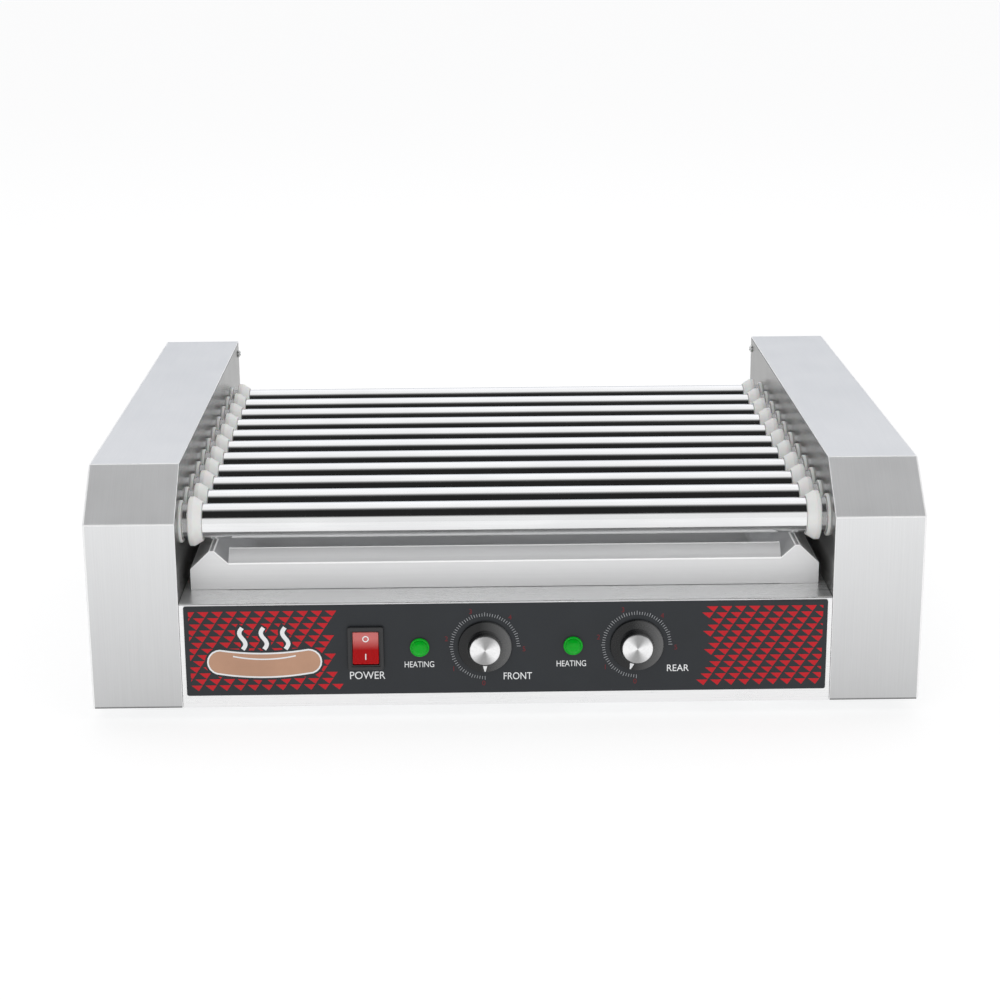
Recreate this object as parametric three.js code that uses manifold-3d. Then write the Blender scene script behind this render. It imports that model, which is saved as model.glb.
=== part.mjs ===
// Hot dog roller grill: eleven heated tubes turning between two end housings.
// Millimetres. X runs along the rollers, -Y is the operator's side and +Z is up.
// The origin is on the table under the middle of the machine.
import * as THREE from 'three';
import { mergeVertices } from 'three/addons/utils/BufferGeometryUtils.js';
import Module from 'manifold-3d';

const wasm = await Module();
wasm.setup();

// ---- Driving dimensions ----------------------------------------------------
const WIDTH = 585;
const DEPTH = 460;
const FOOT_HEIGHT = 10;
const BODY_HEIGHT = 168;
const FRONT_FACE_HEIGHT = 135;
const SLOPE_RUN = 40;
const INNER_WIDTH = 458;
const SHEET = 1.2;
const BASE_SHEET = 1.5;
const GAP = 0.3;

const ROLLER_COUNT = 11;
const ROLLER_PITCH = 35.4;
const ROLLER_SETBACK = 35;
const ROLLER_HEIGHT = 127;
const TUBE = { outer: 12.5, inner: 11, sides: 16, leftOverhang: 9, rightOverhang: 35 };
const BUSH = { bore: 13.15, shank: 15, disc: 17.5, tip: 14, sides: 12 };
const BUSH_REACH = { outside: 4, disc: 7, cone: 10, tip: 16 };

const CHAIN_PITCH = 6.35;
const SPROCKET = { teeth: 16, root: 14.6, tip: 17.2, thickness: 3, wallDistance: 30 };
const CHAIN = { clearance: 0.5, height: 3, width: 6, arcSteps: 8 };
const MOTOR_AT = { y: 60, z: 48 };
const MOTOR = { gearboxSize: 60, gearboxLength: 24, canRadius: 29, length: 68 };

const DECK_HEIGHT = 77;
const DECK_LENGTH = 440;
const TRAY = {
  halfWidth: 223.5, front: 31, length: 400, wall: 15.3, ridge: 28.5, ridgeOuter: 209.7,
  ridgeInner: 206.3, foldX: 196.2, foldZ: 19.2, rimRise: 7.8, floorX: 188, frontFloor: 24,
};

const KNOB_REACH = 10.5;
const KNOBS = [
  { name: 'front', x: -15.2, z: 43.6 },
  { name: 'rear', x: 91.6, z: 43.6 },
];
const THERMOSTAT = {
  width: 38, height: 34, front: 4, rear: 30, collar: 6, bore: 3.6, boreDepth: 15,
};
const LAMPS = [
  { name: 'front', x: -61, z: 43.6 },
  { name: 'rear', x: 46.8, z: 43.6 },
];
const SWITCH = {
  x: -98.8, z: 43.6, bezel: [25.4, 32, 2], body: [21.6, 27.6, 24], pocket: [19, 25, 16],
};
const ROCKER = { width: 18.3, radius: 12.1, centre: 3, rear: 6, faceAngle: 10, pivotDepth: 0.7 };
const LABEL = { halfWidth: 225.5, bottom: 9, top: 75.4, thickness: 0.5 };
const FOOT_INSET = 45;
const FOOT = { top: 14, bottom: 12, stud: 3, studReach: 6, sides: 16 };
const GLAND_AT = { x: -190, z: 42 };
const REAR_PANEL_HEIGHT = 102;
const LIP = 12;
const BASE_VENTS = { columns: 9, spacing: 40, rowY: 90, width: 5, length: 60 };
const REAR_VENTS = { count: 9, spacing: 26, x: 26, z: 60, width: 5, height: 36 };
const PANEL_HOLES = { lamp: 5.4, spindle: 5.6 };

// ---- Worked out from the driving dimensions --------------------------------
const FRONT = -DEPTH / 2;
const REAR = DEPTH / 2;
const WALL_X = INNER_WIDTH / 2;
const TOP = FOOT_HEIGHT + BODY_HEIGHT;
const ROLLER_Z = FOOT_HEIGHT + ROLLER_HEIGHT;
const DECK_Z = FOOT_HEIGHT + DECK_HEIGHT;
const LABEL_FACE = FRONT - GAP - LABEL.thickness;
const BEZEL_BACK = LABEL_FACE - GAP;
const SHAFT = { radius: 4, bore: 4.6, hub: 8, low: WALL_X - 8, high: WALL_X + 40 };
const HEATER = {
  rod: 4, left: -WALL_X - 33, right: WALL_X + 24, barSheet: 2, barReach: 10, barHeight: 16,
  legSheet: 2, legHeight: 12,
};
const ROLLERS = Array.from({ length: ROLLER_COUNT }, (_, i) => ({
  number: String(i + 1).padStart(2, '0'),
  y: FRONT + ROLLER_SETBACK + i * ROLLER_PITCH,
  phase: ((i * ROLLER_PITCH) / CHAIN_PITCH % 1) * (2 * Math.PI / SPROCKET.teeth),
}));

// ---- Materials -------------------------------------------------------------
const finish = (color, roughness, metalness) => () =>
  new THREE.MeshStandardMaterial({ color, roughness, metalness });
const brushedSteel = finish(0xc9cccf, 0.35, 0.9);
const polishedSteel = finish(0xdadcde, 0.15, 1);
const galvanised = finish(0x9da2a6, 0.5, 0.8);
const whitePlastic = finish(0xf1f1ee, 0.5, 0);
const blackPlastic = finish(0x1c1d1f, 0.45, 0);
const labelFilm = finish(0x2c2f33, 0.5, 0);
const redPlastic = finish(0xc8202a, 0.2, 0);
const greenLens = finish(0x13a83b, 0.15, 0);
const blackRubber = finish(0x18181a, 0.8, 0);
const chainSteel = finish(0x6d6f72, 0.4, 0.9);
const heaterSheath = finish(0x55575a, 0.5, 0.8);

// ---- Geometry helpers ------------------------------------------------------
const toShape = (points) => new THREE.Shape(points.map(([a, b]) => new THREE.Vector2(a, b)));

const arc = (cx, cy, radius, from, to, steps) =>
  Array.from({ length: steps + 1 }, (_, i) => {
    const angle = from + (to - from) * i / steps;
    return [cx + radius * Math.cos(angle), cy + radius * Math.sin(angle)];
  });

const ring = (cx, cy, radius, sides) => arc(cx, cy, radius, 0, 2 * Math.PI, sides).slice(0, -1);

const rectangle = (cx, cy, w, h) => [
  [cx - w / 2, cy - h / 2], [cx + w / 2, cy - h / 2],
  [cx + w / 2, cy + h / 2], [cx - w / 2, cy + h / 2],
];

const prism = (outline, depth) =>
  new THREE.ExtrudeGeometry(toShape(outline), { depth, bevelEnabled: false });

function extrude(outline, depth, holes = []) {
  const punches = holes.map((hole) => prism(hole, depth + 2).translate(0, 0, -1));
  return cut(prism(outline, depth), punches);
}

// The outline is [y, z] and the solid runs from x = low to x = high.
function extrudeX(outline, low, high, holes) {
  const turn = new THREE.Matrix4().set(0, 0, 1, low, 1, 0, 0, 0, 0, 1, 0, 0, 0, 0, 0, 1);
  return extrude(outline, high - low, holes).applyMatrix4(turn);
}

// The outline is [x, z] and the solid runs from y = low to y = high.
function extrudeY(outline, low, high, holes) {
  return extrude(outline, high - low, holes).rotateX(Math.PI / 2).translate(0, high, 0);
}

// The outline is [x, y] and the solid runs from z = low to z = high.
function extrudeZ(outline, low, high, holes) {
  return extrude(outline, high - low, holes).translate(0, 0, low);
}

function box(low, high) {
  const size = high.map((value, i) => value - low[i]);
  const centre = high.map((value, i) => (value + low[i]) / 2);
  return new THREE.BoxGeometry(...size).translate(...centre);
}

// A turned solid about +Y: the profile is [radius, height], up its outside.
const turned = (profile, sides) =>
  new THREE.LatheGeometry(profile.map(([r, h]) => new THREE.Vector2(r, h)), sides);

const turnedX = (profile, sides) => turned(profile, sides).rotateZ(-Math.PI / 2);
const turnedZ = (profile, sides) => turned(profile, sides).rotateX(Math.PI / 2);

function toSolid(geometry) {
  const bare = geometry.clone();
  bare.deleteAttribute('normal');
  bare.deleteAttribute('uv');
  const merged = mergeVertices(bare, 1e-4);
  const vertProperties = Float32Array.from(merged.getAttribute('position').array);
  const triVerts = Uint32Array.from(merged.getIndex().array);
  return new wasm.Manifold(new wasm.Mesh({ numProp: 3, vertProperties, triVerts }));
}

function toGeometry(solid) {
  const { vertProperties, triVerts } = solid.getMesh();
  const geometry = new THREE.BufferGeometry();
  geometry.setAttribute('position', new THREE.BufferAttribute(vertProperties, 3));
  geometry.setIndex(new THREE.BufferAttribute(triVerts, 1));
  return geometry;
}

const mirrored = (geometry) => toGeometry(toSolid(geometry).mirror([1, 0, 0]));

const join = (geometries) => toGeometry(geometries.map(toSolid).reduce((a, b) => a.add(b)));

const cut = (geometry, cutters) =>
  toGeometry(cutters.map(toSolid).reduce((rest, cutter) => rest.subtract(cutter), toSolid(geometry)));

function part(name, geometry, material) {
  const mesh = new THREE.Mesh(geometry, material());
  mesh.name = name;
  return mesh;
}

// ---- Housing ---------------------------------------------------------------
// Side view of an end housing, inset from its outer faces: [y, z] from the front bottom corner.
function housingOutline(inset, bottom) {
  const rise = BODY_HEIGHT - FRONT_FACE_HEIGHT;
  const slope = Math.hypot(SLOPE_RUN, rise);
  const along = [SLOPE_RUN / slope, rise / slope];
  const startY = FRONT + inset * along[1];
  const startZ = FOOT_HEIGHT + FRONT_FACE_HEIGHT - inset * along[0];
  const lower = (FRONT + inset - startY) / along[0];
  const upper = (TOP - inset - startZ) / along[1];
  return [
    [FRONT + inset, bottom], [REAR - inset, bottom], [REAR - inset, TOP - inset],
    [startY + upper * along[0], TOP - inset],
    [FRONT + inset, startZ + lower * along[1]],
  ];
}

// The right end cover: open towards the rollers and at the bottom.
function endCover() {
  const outer = extrudeX(housingOutline(0, FOOT_HEIGHT), WALL_X, WIDTH / 2);
  const inner = extrudeX(housingOutline(SHEET, 0), WALL_X - 1, WIDTH / 2 - SHEET);
  return cut(outer, [inner]);
}

function sideFrame(extraHoles) {
  const outline = housingOutline(SHEET + GAP, FOOT_HEIGHT + BASE_SHEET + GAP);
  const bushHoles = ROLLERS.map(({ y }) => ring(y, ROLLER_Z, BUSH.shank + 0.4, BUSH.sides));
  return extrudeX(outline, WALL_X, WALL_X + SHEET, [...bushHoles, ...extraHoles]);
}

const footPlaces = [-1, 1].flatMap((sx) => [-1, 1].map((sy) => ({
  name: `${sy < 0 ? 'front' : 'rear'}_${sx < 0 ? 'left' : 'right'}_foot`,
  x: sx * (WIDTH / 2 - FOOT_INSET),
  y: sy * (DEPTH / 2 - FOOT_INSET),
})));

function basePlate() {
  const inset = SHEET + GAP;
  const { columns, spacing, rowY, width, length } = BASE_VENTS;
  const vents = Array.from({ length: columns }, (_, i) => (i - (columns - 1) / 2) * spacing)
    .flatMap((x) => [rectangle(x, -rowY, width, length), rectangle(x, rowY, width, length)]);
  const studHoles = footPlaces.map(({ x, y }) => ring(x, y, FOOT.stud + 0.5, FOOT.sides));
  const outline = rectangle(0, 0, WIDTH - 2 * inset, DEPTH - 2 * inset);
  return extrudeZ(outline, FOOT_HEIGHT, FOOT_HEIGHT + BASE_SHEET, [...vents, ...studHoles]);
}

function foot() {
  return turnedZ([
    [0, 0], [FOOT.bottom, 0], [FOOT.top, FOOT_HEIGHT - GAP], [FOOT.stud, FOOT_HEIGHT - GAP],
    [FOOT.stud, FOOT_HEIGHT + FOOT.studReach], [0, FOOT_HEIGHT + FOOT.studReach],
  ], FOOT.sides);
}

// Panel openings for the switch, lamps and spindles, [x, z].
function controlHoles() {
  const [bodyWidth, bodyHeight] = SWITCH.body;
  return [
    rectangle(SWITCH.x, FOOT_HEIGHT + SWITCH.z, bodyWidth + 2 * GAP, bodyHeight + 2 * GAP),
    ...LAMPS.map(({ x, z }) => ring(x, FOOT_HEIGHT + z, PANEL_HOLES.lamp, 12)),
    ...KNOBS.map(({ x, z }) => ring(x, FOOT_HEIGHT + z, PANEL_HOLES.spindle, 12)),
  ];
}

function frontPanel() {
  const halfWidth = WALL_X - GAP;
  const face = extrudeY(
    [[-halfWidth, FOOT_HEIGHT], [halfWidth, FOOT_HEIGHT], [halfWidth, DECK_Z], [-halfWidth, DECK_Z]],
    FRONT, FRONT + SHEET, controlHoles(),
  );
  const deck = box([-halfWidth, FRONT, DECK_Z - SHEET], [halfWidth, FRONT + DECK_LENGTH, DECK_Z]);
  const stop = box(
    [-halfWidth, FRONT + DECK_LENGTH - SHEET, DECK_Z - SHEET],
    [halfWidth, FRONT + DECK_LENGTH, DECK_Z + LIP],
  );
  return join([face, deck, stop]);
}

function controlLabel() {
  const bottom = FOOT_HEIGHT + LABEL.bottom;
  const top = FOOT_HEIGHT + LABEL.top;
  const outline = rectangle(0, (bottom + top) / 2, 2 * LABEL.halfWidth, top - bottom);
  return extrudeY(outline, LABEL_FACE, FRONT - GAP, controlHoles());
}

function rearPanel() {
  const halfWidth = WALL_X - GAP;
  const top = FOOT_HEIGHT + REAR_PANEL_HEIGHT;
  const glandHole = ring(GLAND_AT.x, FOOT_HEIGHT + GLAND_AT.z, 8, 12);
  const vents = Array.from({ length: REAR_VENTS.count }, (_, i) => {
    const x = REAR_VENTS.x + (i - (REAR_VENTS.count - 1) / 2) * REAR_VENTS.spacing;
    return rectangle(x, REAR_VENTS.z, REAR_VENTS.width, REAR_VENTS.height);
  });
  const face = extrudeY(
    [[-halfWidth, FOOT_HEIGHT], [halfWidth, FOOT_HEIGHT], [halfWidth, top], [-halfWidth, top]],
    REAR - SHEET, REAR, [glandHole, ...vents],
  );
  const lip = box([-halfWidth, REAR - LIP, top - SHEET], [halfWidth, REAR, top]);
  return join([face, lip]);
}

// ---- Rollers and drive -----------------------------------------------------
function sprocketOutline(y, z, phase) {
  const step = 2 * Math.PI / SPROCKET.teeth;
  return Array.from({ length: SPROCKET.teeth }, (_, i) => {
    const angle = Math.PI / 2 + phase + i * step;
    return [[0, SPROCKET.root], [0.38, SPROCKET.tip], [0.62, SPROCKET.tip]].map(([share, radius]) => [
      y + radius * Math.cos(angle + share * step), z + radius * Math.sin(angle + share * step),
    ]);
  }).flat();
}

function sprocketPlate(phase, bore) {
  const low = WALL_X + SPROCKET.wallDistance;
  const holes = bore ? [ring(0, 0, bore, TUBE.sides)] : [];
  return extrudeX(sprocketOutline(0, 0, phase), low, low + SPROCKET.thickness, holes);
}

function roller(phase) {
  const left = -WALL_X - TUBE.leftOverhang;
  const right = WALL_X + TUBE.rightOverhang;
  const tube = turnedX([
    [TUBE.outer, left], [TUBE.outer, right], [TUBE.inner, right], [TUBE.inner, left],
    [TUBE.outer, left],
  ], TUBE.sides);
  return join([tube, sprocketPlate(phase, TUBE.outer - 0.5)]);
}

// A bush seals each tube end; its disc and cone are on the food side of the wall.
function bush() {
  const { bore, shank, disc, tip, sides } = BUSH;
  const { outside, disc: discAt, cone, tip: tipAt } = BUSH_REACH;
  return turnedX([
    [bore, -tipAt], [tip, -tipAt], [disc, -cone], [disc, -discAt], [shank, -discAt],
    [shank, outside], [bore, outside], [bore, -tipAt],
  ], sides);
}

// A loop of constant distance round pulleys given anticlockwise in [y, z].
function loopAround(pulleys, distance) {
  const heading = (a, b) => Math.atan2(b.z - a.z, b.y - a.y) - Math.PI / 2;
  return pulleys.flatMap((pulley, i) => {
    const before = pulleys[(i + pulleys.length - 1) % pulleys.length];
    const after = pulleys[(i + 1) % pulleys.length];
    const from = heading(before, pulley);
    let to = heading(pulley, after);
    while (to < from) to += 2 * Math.PI;
    return arc(pulley.y, pulley.z, distance, from, to, CHAIN.arcSteps);
  });
}

function driveChain() {
  const pulleys = [
    MOTOR_AT,
    { y: ROLLERS[ROLLER_COUNT - 1].y, z: ROLLER_Z },
    { y: ROLLERS[0].y, z: ROLLER_Z },
  ];
  const inner = SPROCKET.tip + CHAIN.clearance;
  const middle = WALL_X + SPROCKET.wallDistance + SPROCKET.thickness / 2;
  return extrudeX(
    loopAround(pulleys, inner + CHAIN.height), middle - CHAIN.width / 2, middle + CHAIN.width / 2,
    [loopAround(pulleys, inner)],
  );
}

// A rod along +X from x = low to x = high.
const rodX = (radius, low, high, sides) =>
  turnedX([[0, low], [radius, low], [radius, high], [0, high]], sides);

// A rod along +Y from y = low to y = high.
const rodY = (radius, low, high, sides) =>
  turned([[0, low], [radius, low], [radius, high], [0, high]], sides);

function gearMotor() {
  const right = WALL_X - GAP;
  const half = MOTOR.gearboxSize / 2;
  const gearboxLeft = right - MOTOR.gearboxLength;
  const gearbox = box([gearboxLeft, -half, -half], [right, half, half]);
  const can = rodX(MOTOR.canRadius, right - MOTOR.length, gearboxLeft + 4, 20);
  const bore = rodX(SHAFT.bore, SHAFT.low - 1, right + 1, 12);
  return cut(join([gearbox, can]), [bore]);
}

function motorSprocket() {
  const shaft = rodX(SHAFT.radius, SHAFT.low, SHAFT.high, 12);
  const hub = rodX(SHAFT.hub, WALL_X + SPROCKET.wallDistance, SHAFT.high, 12);
  return join([shaft, hub, sprocketPlate(0, 0)]);
}

// Heating rods of a bank stand still inside their turning tubes, on a bar at the left
// that two legs between the bushes hold off the side frame.
function heaterBank(rollers) {
  const rods = rollers.map(({ y }) => rodX(HEATER.rod, HEATER.left, HEATER.right, 8).translate(0, y, 0));
  const firstY = rollers[0].y;
  const lastY = rollers[rollers.length - 1].y;
  const slabX = (low, high, yLow, yHigh, height) =>
    box([low, yLow, -height / 2], [high, yHigh, height / 2]);
  const bar = slabX(
    HEATER.left - HEATER.barSheet, HEATER.left + 1,
    firstY - HEATER.barReach, lastY + HEATER.barReach, HEATER.barHeight,
  );
  const legs = [firstY, lastY - ROLLER_PITCH].map((y) => {
    const middle = y + ROLLER_PITCH / 2;
    const half = HEATER.legSheet / 2;
    return slabX(HEATER.left, -WALL_X - SHEET - GAP, middle - half, middle + half, HEATER.legHeight);
  });
  return join([...rods, bar, ...legs]);
}

// ---- Drip tray -------------------------------------------------------------
// Sheet bent along a path of [a, b] points: the path is walked out and back, one sheet apart.
function bentSheet(path, thickness) {
  const points = path.map(([a, b]) => new THREE.Vector2(a, b));
  const headings = points.slice(1).map((point, i) => point.clone().sub(points[i]).normalize());
  const offset = points.map((point, i) => {
    const into = headings[Math.max(i - 1, 0)];
    const out = headings[Math.min(i, headings.length - 1)];
    const along = into.clone().add(out).normalize();
    const reach = thickness / along.dot(out);
    return [point.x - along.y * reach, point.y + along.x * reach];
  });
  return [...path, ...offset.reverse()];
}

function dripTray() {
  const floor = DECK_Z + GAP;
  const front = FRONT + TRAY.front;
  const rear = front + TRAY.length;
  const at = (x, z) => [x, floor + z];
  const bothSides = (half) => [...half, ...half.map(([x, z]) => [-x, z]).reverse()];
  const flank = [at(TRAY.halfWidth, 0), at(TRAY.halfWidth, TRAY.wall), at(TRAY.ridgeOuter, TRAY.ridge)];
  const ridgeEnd = at(TRAY.ridgeInner, TRAY.ridge);
  const trough = extrudeY(
    bentSheet(bothSides([...flank, ridgeEnd, at(TRAY.floorX, SHEET)]), SHEET), front, rear,
  );
  const frontPlate = extrudeY(
    bothSides([...flank, ridgeEnd, at(TRAY.foldX, TRAY.foldZ)]), front, front + SHEET,
  );
  const backPlate = extrudeY(bothSides(flank), rear - SHEET, rear);
  const rim = extrudeX(bentSheet([
    [front + TRAY.frontFloor, floor + SHEET],
    [front + TRAY.rimRise + 1, floor + TRAY.foldZ + TRAY.rimRise],
    [front + 0.2, floor + TRAY.foldZ - 0.8],
  ], SHEET), -TRAY.foldX, TRAY.foldX);
  return join([trough, frontPlate, backPlate, rim]);
}

// ---- Controls --------------------------------------------------------------
function switchBody() {
  const z = FOOT_HEIGHT + SWITCH.z;
  const slab = ([width, height], low, high) =>
    extrudeY(rectangle(SWITCH.x, z, width, height), low, high);
  const bezelFront = BEZEL_BACK - SWITCH.bezel[2];
  const bezel = slab(SWITCH.bezel, bezelFront, BEZEL_BACK);
  const body = slab(SWITCH.body, BEZEL_BACK - 1, BEZEL_BACK + SWITCH.body[2]);
  const pocket = slab(SWITCH.pocket, bezelFront - 1, bezelFront + SWITCH.pocket[2]);
  return cut(join([bezel, body]), [pocket]);
}

// The rocker's ends follow a circle about its pivot, and its face is a shallow V.
function rocker() {
  const { radius, centre, rear, width } = ROCKER;
  const tilt = THREE.MathUtils.degToRad(ROCKER.faceAngle);
  const tip = Math.PI / 2 - tilt - Math.asin(centre * Math.cos(tilt) / radius);
  const upper = arc(0, 0, radius, Math.PI - tip, Math.acos(rear / radius), 5);
  const lower = upper.map(([y, z]) => [y, -z]).reverse();
  return extrudeX([[-centre, 0], ...upper, ...lower], -width / 2, width / 2).rotateX(-tilt);
}

function lamp() {
  return turned([
    [0, BEZEL_BACK - 4.6], [3.4, BEZEL_BACK - 4.1], [5.8, BEZEL_BACK - 2.6],
    [6.75, BEZEL_BACK - 1.4], [6.75, BEZEL_BACK], [4.8, BEZEL_BACK],
    [4.8, FRONT + 18], [0, FRONT + 18],
  ], 12);
}

function knob() {
  const back = BEZEL_BACK - GAP;
  const face = FRONT - KNOB_REACH;
  return turned([
    [0, face], [11, face], [11.5, face + 0.5], [11.8, back - 3.6], [18.6, back - 1.2],
    [19, back], [3, back], [3, FRONT + 14], [0, FRONT + 14],
  ], 20);
}

function thermostat() {
  const { width, height, front, rear, collar, bore, boreDepth } = THERMOSTAT;
  const body = box([-width / 2, FRONT + front, -height / 2], [width / 2, FRONT + rear, height / 2]);
  const neck = rodY(collar, FRONT + SHEET + GAP, FRONT + front + 1, 12);
  return cut(join([body, neck]), [rodY(bore, FRONT, FRONT + boreDepth, 12)]);
}

function cordGland() {
  const inside = REAR - SHEET - GAP;
  const outside = REAR + GAP;
  return turned([
    [4.2, inside - 3], [10, inside - 3], [10, inside], [7.4, inside], [7.4, outside],
    [11, outside], [11, outside + 5], [8.5, REAR + KNOB_REACH], [4.2, REAR + KNOB_REACH],
    [4.2, inside - 3],
  ], 12);
}

// ---- Assembly --------------------------------------------------------------
const group = new THREE.Group();

const housing = new THREE.Group();
const motorHole = ring(MOTOR_AT.y, MOTOR_AT.z, 7, 12);
housing.add(
  part('base_plate', basePlate(), galvanised),
  part('left_side_frame', mirrored(sideFrame([])), brushedSteel),
  part('right_side_frame', sideFrame([motorHole]), brushedSteel),
  part('left_end_cover', mirrored(endCover()), brushedSteel),
  part('right_end_cover', endCover(), brushedSteel),
  part('front_panel', frontPanel(), brushedSteel),
  part('rear_panel', rearPanel(), brushedSteel),
  part('control_label', controlLabel(), labelFilm),
);
for (const { name, x, y } of footPlaces) {
  const mesh = part(name, foot(), blackRubber);
  mesh.position.set(x, y, 0);
  housing.add(mesh);
}
group.add(housing);

const rollers = new THREE.Group();
rollers.position.z = ROLLER_Z;
for (const { number, y, phase } of ROLLERS) {
  const tube = part(`roller_${number}`, roller(phase), polishedSteel);
  const leftBush = part(`left_bush_${number}`, bush(), whitePlastic);
  const rightBush = part(`right_bush_${number}`, bush(), whitePlastic);
  tube.position.y = y;
  rightBush.position.set(WALL_X, y, 0);
  leftBush.position.set(-WALL_X, y, 0);
  leftBush.rotation.z = Math.PI;
  rollers.add(tube, leftBush, rightBush);
}
const split = Math.floor(ROLLER_COUNT / 2);
rollers.add(
  part('front_heater_bank', heaterBank(ROLLERS.slice(0, split)), heaterSheath),
  part('rear_heater_bank', heaterBank(ROLLERS.slice(split)), heaterSheath),
);
group.add(rollers);

const drive = new THREE.Group();
const motor = part('gear_motor', gearMotor(), galvanised);
const sprocket = part('motor_sprocket', motorSprocket(), chainSteel);
motor.position.set(0, MOTOR_AT.y, MOTOR_AT.z);
sprocket.position.set(0, MOTOR_AT.y, MOTOR_AT.z);
drive.add(motor, sprocket, part('drive_chain', driveChain(), chainSteel));
group.add(drive);

group.add(part('drip_tray', dripTray(), brushedSteel));

const controls = new THREE.Group();
controls.position.z = FOOT_HEIGHT;
for (const { name, x, z } of KNOBS) {
  const handle = part(`${name}_knob`, knob(), blackPlastic);
  const regulator = part(`${name}_thermostat`, thermostat(), galvanised);
  handle.position.set(x, 0, z);
  regulator.position.set(x, 0, z);
  controls.add(handle, regulator);
}
for (const { name, x, z } of LAMPS) {
  const lens = part(`${name}_heating_lamp`, lamp(), greenLens);
  lens.position.set(x, 0, z);
  controls.add(lens);
}
const key = part('power_switch_rocker', rocker(), redPlastic);
key.position.set(SWITCH.x, FRONT + ROCKER.pivotDepth, SWITCH.z);
controls.add(key);
group.add(controls);
group.add(part('power_switch_body', switchBody(), blackPlastic));

const gland = part('cord_gland', cordGland(), blackPlastic);
gland.position.set(GLAND_AT.x, 0, FOOT_HEIGHT + GLAND_AT.z);
group.add(gland);

export default group;
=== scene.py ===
"""Looks of the hot dog roller grill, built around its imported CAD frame.

Metres. X runs along the rollers, -Y is the operator's side and +Z is up.
"""
from math import acos, asin, atan2, cos, degrees, dist, hypot, pi, radians, sin, tan

import bmesh
import bpy
from mathutils import Matrix, Vector


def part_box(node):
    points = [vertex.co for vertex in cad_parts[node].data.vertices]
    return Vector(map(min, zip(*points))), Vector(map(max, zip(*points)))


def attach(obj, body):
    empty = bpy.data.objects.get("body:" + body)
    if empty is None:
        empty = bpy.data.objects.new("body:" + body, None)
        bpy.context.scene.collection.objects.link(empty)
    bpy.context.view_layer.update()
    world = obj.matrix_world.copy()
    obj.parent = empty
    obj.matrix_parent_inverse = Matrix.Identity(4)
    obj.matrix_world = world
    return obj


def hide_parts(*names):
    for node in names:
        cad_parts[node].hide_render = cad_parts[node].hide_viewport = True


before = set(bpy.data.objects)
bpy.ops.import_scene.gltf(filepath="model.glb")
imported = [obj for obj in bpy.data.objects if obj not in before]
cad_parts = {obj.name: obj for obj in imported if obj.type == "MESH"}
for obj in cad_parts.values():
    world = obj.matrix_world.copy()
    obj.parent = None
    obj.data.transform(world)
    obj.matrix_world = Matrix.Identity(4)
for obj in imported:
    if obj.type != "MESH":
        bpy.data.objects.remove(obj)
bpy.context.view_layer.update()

# ---- Sizes and places ----
MM = 0.001
SHEET = 1.2*MM
BEND = 1.5*MM
LIP = 0.35*MM
GAP = 0.3*MM
SIDES = (("left", -1), ("right", 1))

cover_low, cover_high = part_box("right_end_cover")
WALL_X, OUTER_X = cover_low.x, cover_high.x
FRONT, REAR = cover_low.y, cover_high.y
BOTTOM, TOP = cover_low.z, cover_high.z
cover_points = [v.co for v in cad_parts["right_end_cover"].data.vertices]
SLOPE_TOP_Y = min(p.y for p in cover_points if p.z > TOP - 0.01*MM)
SLOPE_LOW_Z = max(p.z for p in cover_points if p.y < FRONT + 0.01*MM)


def centre(node):
    low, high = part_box(node)
    return (low + high) / 2


ROLLER_NUMBERS = [f"{i:02d}" for i in range(1, 12)]
ROLLER_Y = [centre(f"right_bush_{n}").y for n in ROLLER_NUMBERS]
ROLLER_Z = centre("right_bush_01").z
ROLLERS = list(zip(ROLLER_NUMBERS, ROLLER_Y))
TUBE_OUTER, TUBE_INNER = 12.5*MM, 11*MM
TUBE_LEFT, TUBE_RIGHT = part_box("roller_01")[0].x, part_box("roller_01")[1].x
SPROCKET_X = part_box("motor_sprocket")[1].x - 10*MM
SPROCKET_THICK = 3*MM
TEETH = 16
TOOTH_ANGLE = 360 / TEETH
CHAIN_PITCH = 6.35*MM
PITCH_RADIUS = CHAIN_PITCH / (2 * sin(pi / TEETH))

tray_low, tray_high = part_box("drip_tray")
label_low, label_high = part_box("control_label")
panel_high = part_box("front_panel")[1]
rear_low, rear_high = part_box("rear_panel")
base_low, base_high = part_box("base_plate")
switch_low, switch_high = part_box("power_switch_body")
motor_low, motor_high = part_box("gear_motor")
KNOB = {name: centre(f"{name}_knob") for name in ("front", "rear")}
LAMP = {name: centre(f"{name}_heating_lamp") for name in ("front", "rear")}
SWITCH = centre("power_switch_body")
GLAND = centre("cord_gland")
MOTOR = centre("motor_sprocket")
FEET = [f"{row}_{side}_foot" for row in ("front", "rear") for side in ("left", "right")]
POINTER_TURN = {"front": 0, "rear": 15}
BEZEL_BACK = label_low.y - GAP
DECK_Z = tray_low.z - GAP


# ---- Outlines ----
def polar(radius, angle):
    """The point at this radius and angle in degrees."""
    return radius * cos(radians(angle)), radius * sin(radians(angle))


def arc(cx, cy, radius, start, end, steps):
    """Points on an arc, angles in degrees."""
    spokes = [polar(radius, start + (end - start) * k / steps) for k in range(steps + 1)]
    return [(cx + x, cy + y) for x, y in spokes]


def circle(cx, cy, radius, steps=48):
    return arc(cx, cy, radius, 0, 360, steps)[:-1]


def hole(outline):
    """An outline run the other way, as flat plates need it for their holes."""
    return outline[::-1]


def quarter(steps):
    """Angles of a quarter turn in equal steps."""
    return [pi / 2 * k / steps for k in range(steps + 1)]


def mm(base, *points):
    """Corners for fillet from (along, across, radius) in mm, with along measured from base."""
    return [(base + a * MM, b * MM, radius * MM) for a, b, radius in points]


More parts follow.
